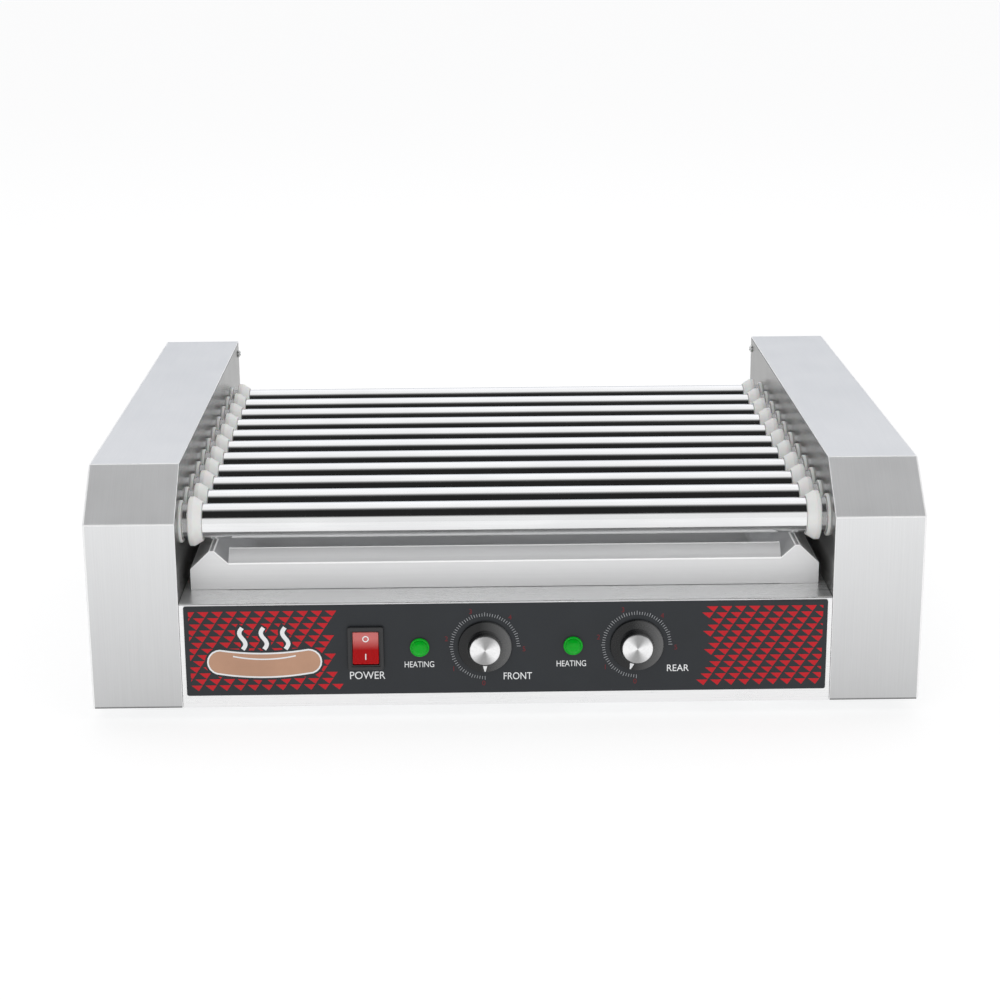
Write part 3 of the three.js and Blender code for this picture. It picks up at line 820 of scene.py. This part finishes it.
def make_heaters():
    for bank in ("front", "rear"):
        node = f"{bank}_heater_bank"
        low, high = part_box(node)
        places = [y for y in ROLLER_Y if low.y < y < high.y]

        def rods(bm):
            rod = path(mm(low.x, (2, 0, 0), (2, 4, 0.4)), mm(high.x, (0, 4, 1.5), (0, 0, 0)))
            for y in places:
                turn(bm, rod, "X", (0, y, ROLLER_Z), 24)
                nut = circle(y, ROLLER_Z, 6.4*MM, 6)
                prism(bm, nut, low.x + 3.2*MM, low.x + 6.5*MM, "X", 0.3*MM)
        piece(f"{node}_rods", build(rods), sheath_metal, node)

        def bar(bm):
            holder = rectangle((low.y + high.y) / 2, ROLLER_Z, high.y - low.y, 16*MM, 2*MM)
            prism(bm, holder, low.x, low.x + 2*MM, "X", 0.3*MM)
            for spot in (places[0], places[-2]):
                middle = spot + (ROLLER_Y[1] - ROLLER_Y[0]) / 2
                leg = rectangle(middle, ROLLER_Z, 2*MM, 12*MM, 0.3*MM)
                prism(bm, leg, low.x + 1.5*MM, -WALL_X - SHEET - GAP, "X")
        piece(f"{node}_bar", build(bar), zinc)


# ---- Drive ----
def heading(a, b):
    """The direction from one point to another, in degrees."""
    return degrees(atan2(b[1] - a[1], b[0] - a[0]))


def chain_route():
    """The closed line through the pins, starting over the first roller."""
    start, end = (ROLLER_Y[0], ROLLER_Z), (ROLLER_Y[-1], ROLLER_Z)
    pulleys = [start, end, (MOTOR.y, MOTOR.z)]
    route = []
    for i, here in enumerate(pulleys):
        before, after = pulleys[i - 1], pulleys[(i + 1) % 3]
        into, out = heading(before, here) + 90, heading(here, after) + 90
        while out > into:
            out -= 360
        route += arc(*here, PITCH_RADIUS, into, out, 24)
    top = route.index(min(route[:25], key=lambda p: abs(p[0] - start[0]) - p[1]))
    return route[top:] + route[:top]


def chain_points():
    """Pin centres round the drive, one chain pitch apart."""
    route = chain_route()
    steps = list(zip(route, route[1:] + route[:1]))
    total = sum(dist(a, b) for a, b in steps)
    count = 2 * round(total / CHAIN_PITCH / 2)
    points, walked, target = [], 0.0, 0.0
    for a, b in steps:
        length = dist(a, b)
        while length and target <= walked + length and len(points) < count:
            share = (target - walked) / length
            points.append((a[0] + (b[0] - a[0]) * share, a[1] + (b[1] - a[1]) * share))
            target += total / count
        walked += length
    return points


def link_outline(a, b):
    """A waisted link plate round two pins."""
    ahead, radius = heading(a, b), 2.7*MM
    waist = [arc((a[0] + b[0]) / 2, (a[1] + b[1]) / 2, 2.0*MM, ahead + side, ahead + side, 1)[0]
             for side in (90, -90)]
    return (arc(*b, radius, ahead - 72, ahead + 72, 6) + waist[:1]
            + arc(*a, radius, ahead + 108, ahead + 252, 6) + waist[1:])


def make_chain():
    points = chain_points()
    middle = SPROCKET_X + SPROCKET_THICK / 2

    def add(bm):
        for i, point in enumerate(points):
            link = link_outline(point, points[(i + 1) % len(points)])
            reach = 1.7*MM if i % 2 else 2.5*MM
            for side in (-1, 1):
                inner, outer = sorted((middle + side * reach, middle + side * (reach + 0.7*MM)))
                prism(bm, link, inner, outer, "X")
            roller = circle(*point, 1.6*MM, 12)
            prism(bm, roller, middle - 1.65*MM, middle + 1.65*MM, "X")
            pin = circle(*point, 1.0*MM, 10)
            for low, high in ((-3.6, -3.2), (3.2, 3.6)):
                prism(bm, pin, middle + low * MM, middle + high * MM, "X")
    piece("drive_chain_links", build(add), chain_metal, "drive_chain")


def make_motor():
    right = motor_high.x
    half = (motor_high.z - motor_low.z) / 2
    box_left = right - 24*MM
    axis = (0, MOTOR.y, MOTOR.z)

    def gearbox(bm):
        prism(bm, rectangle(MOTOR.y, MOTOR.z, 2 * half, 2 * half, 5*MM), box_left, right, "X", 1*MM)
        out = half - 6*MM
        for a, b in ((-1, -1), (-1, 1), (1, -1), (1, 1)):
            bolt = circle(MOTOR.y + a * out, MOTOR.z + b * out, 3.2*MM, 6)
            prism(bm, bolt, box_left - 2.5*MM, box_left + 1*MM, "X", 0.3*MM)
    piece("motor_gearbox", build(gearbox), zinc, "gear_motor")
    low = motor_low.x
    ribs = [mm(low + (8 + 5 * i)*MM, (0, 28.4, 0.3), (1, 27, 0.3), (2.4, 27, 0.3), (3.4, 28.4, 0.3))
            for i in range(6)]
    can = path(mm(low, (0, 0, 0), (0, 9, 0.5), (2, 10, 0.5), (2, 26, 2), (4, 28.4, 1)), *ribs,
               mm(box_left + 0.5*MM, (0, 28.4, 0), (0, 0, 0)), steps=3)
    piece("motor_can", build(turn, can, "X", axis), sheath_metal)
    node = "motor_sprocket"
    low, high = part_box(node)
    shaft = path(mm(low.x, (0, 0, 0), (0, 4, 0.5)), mm(SPROCKET_X, (0, 4, 0), (0, 8, 0.3)),
                 mm(high.x, (0, 8, 0.6), (0, 2, 0.5), (-1, 0, 0)))
    piece("motor_shaft_hub", build(turn, shaft, "X", axis, 40), chain_metal, node, node)
    piece("motor_sprocket_teeth", sprocket(MOTOR.y, MOTOR.z, 0, 7.8*MM), chain_metal, body=node)


# ---- Drip tray ----
FOLD_WIDTH = 0.45*MM
TRAY_WALL, TRAY_RIDGE = 15.3*MM, tray_high.z - tray_low.z
RIDGE_OUTER, RIDGE_INNER = tray_high.x - 13.8*MM, tray_high.x - 17.2*MM
RIM_X, RIM_Z = tray_high.x - 27.3*MM, 19.2*MM


def make_tray():
    floor, front, rear, half = tray_low.z, tray_low.y, tray_high.y, tray_high.x

    def both(flank):
        raised = [(x, floor + z, radius) for x, z, radius in flank]
        return raised + [(-x, z, radius) for x, z, radius in reversed(raised)]

    flank = [(half, 0, 0), (half, TRAY_WALL, 1.5*MM), (RIDGE_OUTER, TRAY_RIDGE, 1.3*MM)]
    section = path(both([*flank, (RIDGE_INNER, TRAY_RIDGE, 1.3*MM), (half - 35.5*MM, SHEET, 5*MM)]))
    trough = build(bend, section, front + 0.4*MM, rear - 0.4*MM, "Y")
    rise = path([(front + 24*MM, floor + SHEET, 0), (front + 9.6*MM, floor + 29*MM, 1.2*MM),
                 (front, floor + RIM_Z, 1.4*MM), (front, floor, 0)], steps=6)
    plates = [build(bend, rise, -RIM_X, RIM_X, "X")]
    for side in (-1, 1):
        end = fillet([(side * x, floor + z, radius) for x, z, radius in (
            (RIM_X - 1*MM, 0, 0), (half, 0, 0.8*MM), (half, TRAY_WALL, 1.5*MM),
            (RIDGE_OUTER, TRAY_RIDGE, 1.3*MM), (RIDGE_INNER, TRAY_RIDGE, 1.3*MM),
            (RIM_X, RIM_Z, 0.5*MM), (RIM_X - 1*MM, RIM_Z - 0.6*MM, 0),
        )])
        plates.append(build(prism, end, front, front + SHEET, "Y", 0.4*MM, 3))
    gusset = [(front + y*MM, floor + z*MM)
              for y, z in ((0.3, 0.3), (23, 0.3), (9.6, 28.4), (0.3, 18.8))]
    for x in (-RIM_X + 0.2*MM, RIM_X - SHEET - 0.2*MM):
        plates.append(build(prism, gusset, x, x + SHEET, "X"))
    plates.append(build(prism, fillet(both(flank)), rear - SHEET, rear, "Y", 0.3*MM))
    mesh = weighted(combine(trough, plates, "UNION"))
    made = piece("tray_sheet", mesh, [tray_steel, fold_steel], "drip_tray", "drip_tray")
    # The narrow faces along the folds take the painted highlight.
    for polygon in made.data.polygons:
        corners = [made.data.vertices[i].co for i in polygon.vertices]
        longest = max((a - b).length for a, b in zip(corners, corners[1:] + corners[:1]))
        polygon.material_index = int(polygon.area / longest < FOLD_WIDTH)


# ---- Label ----
PRINT = 0.05*MM
NUMBER_ANGLES = [268, 217, 168, 111, 50, -5]
NUMBER_RADIUS = 27.6*MM
TICK_STEP, TICK_INNER, TICK_OUTER, TICK_LONG = 4.5, 22.3*MM, 24.5*MM, 25.1*MM
PATTERN_EDGE = 222.2*MM
CAP_SHARE = 0.7


def make_label():
    width, height = label_high.x - label_low.x, label_high.z - label_low.z
    outline = rectangle(0, (label_high.z + label_low.z) / 2, width, height, 1.5*MM)
    outlines = [outline, *map(hole, control_openings())]
    mesh = plate(outlined(outlines), label_high.y - label_low.y, "-Y", (0, label_high.y, 0), 0.12*MM)
    piece("label_sheet", weighted(mesh), label_film, "control_label")


def printed(name, outlines, look, layer=1):
    """A printed patch on the label's face, from outlines in x and z."""
    at = (0, label_low.y - (layer - 1) * PRINT, 0)
    piece(name, plate(outlined(outlines), PRINT, "-Y", at), look)


def clipped(shape, limit, keep):
    """The part of a shape on one side of a vertical line; keep is 1 for the right side."""
    kept = []
    for (x0, z0), (x1, z1) in zip(shape, shape[1:] + shape[:1]):
        inside, next_inside = keep * (x0 - limit) >= 0, keep * (x1 - limit) >= 0
        if inside:
            kept.append((x0, z0))
        if inside != next_inside:
            kept.append((limit, z0 + (z1 - z0) * (limit - x0) / (x1 - x0)))
    return kept


def triangles(left, right, chosen):
    """Rows of leaning triangles between two sides; chosen(x, z) says which are printed."""
    pitch, row, width, lean, gap = 9.9*MM, 4.55*MM, 8.1*MM, 3*MM, 0.35*MM
    bottom, top = label_low.z + 3.6*MM, label_high.z - 2.6*MM
    found = []
    for j in range(int((top - bottom) / row)):
        z = bottom + j * row
        start = left - pitch + lean * j % pitch
        for i in range(int((right - left) / pitch) + 2):
            x = start + i * pitch
            shape = [(x, z + row - gap), (x + width - lean, z), (x + width, z + row - gap)]
            shape = clipped(clipped(shape, left, 1), right, -1)
            wide = shape and max(p[0] for p in shape) - min(p[0] for p in shape) > 1*MM
            if wide and chosen(x + width / 2, z + row / 2):
                found.append(shape)
    return found


def make_patterns():
    middle = (label_low.z + label_high.z) / 2
    half = (label_high.z - label_low.z) / 2

    def bow(z):
        return 1 - ((z - middle) / half) ** 2

    printed("label_pattern_left", triangles(
        -PATTERN_EDGE, -112*MM, lambda x, z: x < -113*MM - 11*MM * bow(z)), print_red)
    printed("label_pattern_right", triangles(
        134*MM, PATTERN_EDGE, lambda x, z: x > 135*MM + 6*MM * bow(z)), print_red)


def make_dials():
    for name, spot in KNOB.items():
        ticks = []
        for k in range(61):
            out = Vector(polar(1, 270 - TICK_STEP * k))
            near, far = out * TICK_INNER, out * (TICK_OUTER if k % 5 else TICK_LONG)
            across = Vector((-out.y, out.x)) * 0.17*MM
            tick = (near - across, far - across, far + across, near + across)
            ticks.append([(spot.x + p.x, spot.z + p.y) for p in tick])
        printed(f"{name}_dial_ticks", ticks, print_grey)
        for number, angle in enumerate(NUMBER_ANGLES):
            x, z = polar(NUMBER_RADIUS, angle)
            write(f"{name}_dial_{number}", str(number), 3.6*MM, spot.x + x, spot.z + z, print_dark_red)


def write(name, text, height, x, z, look, width=None):
    """Printed letters with capitals of this height, set to a width if one is given."""
    mesh = plate(lettered(text, height / CAP_SHARE), PRINT, "-Y")
    if width:
        spans = [v.co.x for v in mesh.vertices]
        mesh.transform(Matrix.Diagonal((width / (max(spans) - min(spans)), 1, 1, 1)))
    mesh.transform(shift((x, label_low.y, z)))
    piece(name, mesh, look)


def make_words():
    for name, text, height, x, z, width in (
        ("power", "POWER", 5.6, -98.2, 32.7, 24.9), ("front_lamp", "HEATING", 4.4, -61.4, 40.5, 20.7),
        ("rear_lamp", "HEATING", 4.4, 45.6, 39.9, 20.7), ("front_dial", "FRONT", 5.2, 7.7, 31.0, 20),
        ("rear_dial", "REAR", 5.0, 120.6, 35.6, 15.4),
    ):
        write(f"{name}_word", text, height * MM, x * MM, z * MM, print_white, width * MM)


SAUSAGE_X, SAUSAGE_Z = -170*MM, 44*MM
SAUSAGE_HALF, SAUSAGE_SAG, HALO = 31*MM, 2.6*MM, 1.6*MM


def sausage(radius):
    """A curved sausage outline, bowed down in the middle."""
    def line(side):
        points = []
        for k in range(25):
            t = -1 + k / 12
            points.append((SAUSAGE_X + t * SAUSAGE_HALF,
                           SAUSAGE_Z + side * radius - SAUSAGE_SAG * (1 - t * t)))
        return points
    right = arc(SAUSAGE_X + SAUSAGE_HALF, SAUSAGE_Z, radius, -90, 90, 10)[1:-1]
    left = arc(SAUSAGE_X - SAUSAGE_HALF, SAUSAGE_Z, radius, 90, 270, 10)[1:-1]
    return line(-1) + right + line(1)[::-1] + left


def curl(cx, low, height, width):
    """One rising curl of steam of even thickness."""
    return stroke([(cx + 2.0*MM * sin(2 * pi * k / 16), low + height * k / 16)
                   for k in range(17)], width)


def make_pictogram():
    """A sausage with three curls of steam, in place of a mark."""
    z = SAUSAGE_Z
    steam_at = [SAUSAGE_X + k * 15*MM for k in (-1, 0, 1)]
    printed("pictogram_ground", [sausage(9.4*MM + HALO)], label_film, 2)
    for number, spot in enumerate(steam_at, 1):
        printed(f"pictogram_steam_ground_{number}",
                [curl(spot, z + 8*MM, 19*MM, 3*MM + 2 * HALO)], label_film, 3)
    printed("pictogram_steam", [curl(spot, z + 9.4*MM, 16*MM, 3*MM) for spot in steam_at],
            print_white, 4)
    printed("pictogram_outline", [sausage(9.4*MM)], print_white, 5)
    printed("pictogram_sausage", [sausage(8.2*MM)], print_tan, 6)
    shine = [(SAUSAGE_X + 22*MM * t, z + 4.4*MM - 2.4*MM * (1 - t ** 2))
             for t in [k / 10 - 1 for k in range(21)]]
    printed("pictogram_shine", [stroke(shine, 1*MM)], print_white, 7)


# ---- Switch, lamps and knobs ----
def make_switch():
    front = switch_low.y
    width, height = switch_high.x - switch_low.x, switch_high.z - switch_low.z

    def block(width, height, radius, near, far, *edge):
        return build(prism, rectangle(SWITCH.x, SWITCH.z, width, height, radius), near, far, "Y", *edge)
    bezel = block(width, height, 1.6*MM, front, BEZEL_BACK, 0.8*MM, 4)
    back = block(21.6*MM, 27.6*MM, 1*MM, BEZEL_BACK - 0.5*MM, switch_high.y, 0.4*MM)
    pocket = block(19*MM, 25*MM, 0.8*MM, front - 1*MM, front + 16*MM)
    step = block(21*MM, 27.2*MM, 1.2*MM, front - 1*MM, front + 0.7*MM)
    mesh = combine(combine(bezel, [back], "UNION"), [pocket, step])
    piece("switch_bezel", mesh, black_plastic, "power_switch_body")


ROCKER_RADIUS, ROCKER_CENTRE, ROCKER_WIDTH, ROCKER_REAR = 12.1*MM, 3*MM, 18.3*MM, 6*MM
ROCKER_TILT = radians(10)


def make_rocker():
    pivot = Vector((SWITCH.x, FRONT + 0.7*MM, SWITCH.z))
    turn_off = shift(pivot) @ rotation(-ROCKER_TILT, "X")
    tip = 90 - 10 - degrees(asin(ROCKER_CENTRE * cos(ROCKER_TILT) / ROCKER_RADIUS))
    stop = degrees(acos(ROCKER_REAR / ROCKER_RADIUS))
    upper = arc(0, 0, ROCKER_RADIUS, 180 - tip, stop, 16)
    lower = [(a, -b) for a, b in upper][::-1]
    face = fillet([(*lower[-1], 0.7*MM), (-ROCKER_CENTRE, 0, 3*MM), (*upper[0], 0.7*MM)],
                  closed=False, steps=6)
    outline = face[1:-1] + upper + lower
    mesh = build(prism, outline, -ROCKER_WIDTH / 2, ROCKER_WIDTH / 2, "X", 0.7*MM, 4)
    mesh.transform(turn_off)
    piece("rocker_key", mesh, red_plastic, "power_switch_rocker", "power_rocker")
    off = [circle(0, 0, 2.3*MM, 40), hole(circle(0, 0, 1.55*MM, 40))]
    on = [rectangle(0, 0, 0.8*MM, 4.2*MM, 0.3*MM)]
    for name, outlines, side in (("off", off, 1), ("on", on, -1)):
        mark = plate(outlined(outlines), 0.12*MM, "-Y")
        mark.transform(turn_off @ shift((0, -ROCKER_CENTRE, 0))
                       @ rotation(side * ROCKER_TILT, "X")
                       @ shift((0, 0.06*MM, side * 6.4*MM)))
        piece(f"rocker_mark_{name}", mark, print_white, body="power_rocker")


def make_lamps():
    profile = path(mm(BEZEL_BACK, (-4.5, 0, 0), (-4.3, 3, 4), (-2.6, 5.3, 1), (-1.6, 5.5, 0.2),
                      (-1.5, 6.2, 0.3), (-1.2, 6.75, 0.4), (0, 6.75, 0.1), (0, 4.8, 0)),
                   mm(FRONT + 18*MM, (0, 4.8, 0.3), (0, 0, 0)), steps=5)
    for name, spot in LAMP.items():
        mesh = build(turn, profile, "Y", (spot.x, 0, spot.z))
        piece(f"{name}_lamp_lens", mesh, green_lens, f"{name}_heating_lamp")


def make_knobs():
    for name, spot in KNOB.items():
        body = f"{name}_knob"
        low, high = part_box(body)
        back, face = BEZEL_BACK - GAP, low.y
        axis = (spot.x, 0, spot.z)
        profile = path(mm(face, (0.5, 0, 0), (0.5, 10.6, 0), (0.2, 10.8, 0.2), (0.2, 11.4, 0.5)),
                       mm(back, (-4.2, 11.8, 1), (-3.2, 13, 1), (-1.6, 18.5, 0.6), (0, 19, 0.3),
                          (0, 3, 0)),
                       mm(high.y, (0, 3, 0.4), (0, 0, 0)), steps=5)
        piece(f"{body}_grip", build(turn, profile, "Y", axis, 96), knob_plastic, body, body)
        disc = path(mm(face, (0.1, 0, 0), (0, 10.2, 0.3), (0.4, 10.7, 0.2), (0.9, 10.5, 0),
                       (0.9, 0, 0)))
        piece(f"{body}_cap", build(turn, disc, "Y", axis, 96), spun_cap, body=body)
        wedge = fillet(mm(0, (-1.6, 0, 0.3), (1.6, 0, 0.3), (0.35, 5.2, 0.25), (-0.35, 5.2, 0.25)))
        pointer = plate(outlined([wedge]), 0.3*MM, "-Y")
        pointer.transform(shift(axis) @ rotation(radians(180 + POINTER_TURN[name]), "Y")
                          @ shift((0, back - 3.25*MM, 12.9*MM))
                          @ rotation(-atan2(1.6, 5.5), "X"))
        piece(f"{body}_pointer", pointer, print_white, body=body)


def make_thermostats():
    for name, spot in KNOB.items():
        low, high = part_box(f"{name}_thermostat")
        box_front = FRONT + 4*MM

        def add(bm):
            prism(bm, rectangle(spot.x, spot.z, 38*MM, 34*MM, 2*MM), box_front, high.y, "Y",
                  0.6*MM)
            collar = ring([*mm(low.y, (0, 3.7, 0.2), (0, 6, 0.3)), *mm(box_front, (1, 6, 0), (1, 3.7, 0))],
                          steps=3)
            turn(bm, collar, "Y", (spot.x, 0, spot.z), 48)
            for side in (-1, 1):
                tab = rectangle(spot.x + side * 10*MM, spot.z, 6.3*MM, 0.8*MM, 0.2*MM)
                prism(bm, tab, high.y - 1*MM, high.y + 7*MM, "Y", 0.2*MM)
        piece(f"{name}_thermostat_case", build(add), zinc, f"{name}_thermostat")


def make_gland():
    low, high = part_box("cord_gland")
    profile = ring([
        *mm(low.y, (0, 4.2, 0.3), (0, 10, 0.4)), *mm(REAR - SHEET - GAP, (0, 10, 0), (0, 7.4, 0)),
        *mm(REAR, (0.3, 7.4, 0), (0.3, 11, 0.4), (5.3, 11, 0.8)),
        *mm(high.y, (-0.5, 8.5, 0.6), (0, 4.2, 0.5)),
    ])
    piece("gland_body", build(turn, profile, "Y", (GLAND.x, 0, GLAND.z)), black_plastic, "cord_gland")


# ---- Studio ----
CAMERA_AT = (-0.0263, FRONT - 1.4205, 0.5685)
YAW, PITCH, ROLL = radians(0.903), radians(16.034), radians(-0.365)


def make_camera():
    data = bpy.data.cameras.new("camera")
    data.sensor_width = 36
    data.lens = 77.21
    data.clip_end = 100
    camera = linked("camera", data)
    turned = rotation(-YAW, "Z") @ rotation(pi / 2 - PITCH, "X") @ rotation(ROLL, "Z")
    camera.matrix_world = shift(CAMERA_AT) @ turned
    bpy.context.scene.camera = camera


# Studio brightness by angle over the machine, from the operator's side (0) to behind it (180).
SKY = [
    (-180, 0.80, 0.81, 0.83), (-90, 0.9, 0.9, 0.9), (-2, 0.95, 0.95, 0.95),
    (28, 0.95, 0.95, 0.95), (34, 0.3, 0.3, 0.3), (38, 0.02, 0.02, 0.02),
    (78, 0.02, 0.02, 0.02), (87, 0.15, 0.15, 0.15), (95, 0.65, 0.65, 0.655),
    (101, 1.05, 1.05, 1.05), (140, 1.15, 1.15, 1.17), (158, 1.12, 1.12, 1.15),
    (162, 1.0, 1.01, 1.04), (166, 0.68, 0.71, 0.76), (174, 0.5, 0.53, 0.58),
    (180, 0.62, 0.65, 0.68),
]
SKY_SIDE = (0.72, 0.73, 0.75, 1)
WHITE = (1, 1, 1, 1)


def make_sky():
    world = bpy.data.worlds.new("studio")
    bpy.context.scene.world = world
    world.use_nodes = True
    world.node_tree.nodes.clear()
    sky = Nodes(world.node_tree)
    x, y, z = (sky.along(axis, "Generated") for axis in "XYZ")
    angle = sky.sum("ARCTAN2", z, sky.sum("MULTIPLY", y, -1.0))
    ramp = sky.node("ValToRGB", {"Fac": sky.spread(angle, 0, 1, -pi, pi)})
    stops = ramp.color_ramp.elements
    for k, (bearing, *colour) in enumerate(SKY):
        at = (bearing + 180) / 360
        stop = stops[k] if k < 2 else stops.new(at)
        stop.position = at
        stop.color = (*colour, 1)
    aside = sky.spread(sky.sum("ABSOLUTE", x), 0, 1, 0.55, 0.95, interpolation_type="SMOOTHSTEP")
    colour = sky.mix(aside, ramp.outputs["Color"], SKY_SIDE)
    # The camera sees plain white; the machine is lit by and mirrors the ramp.
    lit, plain = (sky.node("Background", {"Color": c}).outputs["Background"] for c in (colour, WHITE))
    seen = sky.node("LightPath", {}).outputs["Is Camera Ray"]
    chosen = sky.node("MixShader", {"Fac": seen, 1: lit, 2: plain})
    sky.node("OutputWorld", {"Surface": chosen.outputs["Shader"]})


def make_floor():
    reach = 40
    bm = bmesh.new()
    bm.faces.new([bm.verts.new((x * reach, y * reach, 0))
                  for x, y in ((-1, -1), (1, -1), (1, 1), (-1, 1))])
    floor = linked("floor", to_mesh(bm))
    look = Look("floor_paper", None, (0.32, 0.32, 0.32), Roughness=0.9, Specular_IOR_Level=0.0,
                Emission_Color=WHITE, Emission_Strength=0.77)
    look.tint(look.noise(3), 0.995, 1.0)
    floor.data.materials.append(look.material)


def make_lights():
    for name, at, size, power in (
        ("key", (-0.9, -1.6, 2.4), 1.6, 14), ("fill", (1.3, -1.4, 1.8), 1.6, 9),
        ("back", (0, 1.6, 2.2), 2.0, 5),
    ):
        data = bpy.data.lights.new(name, "AREA")
        data.size = size
        data.energy = power
        light = linked(name, data)
        light.location = at
        aim = Vector((0, 0, 0.1)) - Vector(at)
        light.rotation_euler = aim.to_track_quat("-Z", "Y").to_euler()
        light.visible_glossy = False


# ---- Everything ----
for make in (
    make_camera, make_covers, make_side_frames, make_base, make_feet, make_panel, make_rear_panel,
    make_screws, make_rollers, make_bushes, make_heaters, make_chain, make_motor, make_tray,
    make_label, make_patterns, make_dials, make_words, make_pictogram, make_switch, make_rocker,
    make_lamps, make_knobs, make_thermostats, make_gland, make_sky, make_floor, make_lights,
):
    make()
bpy.context.scene.view_settings.view_transform = "Standard"

bpy.context.view_layer.update()
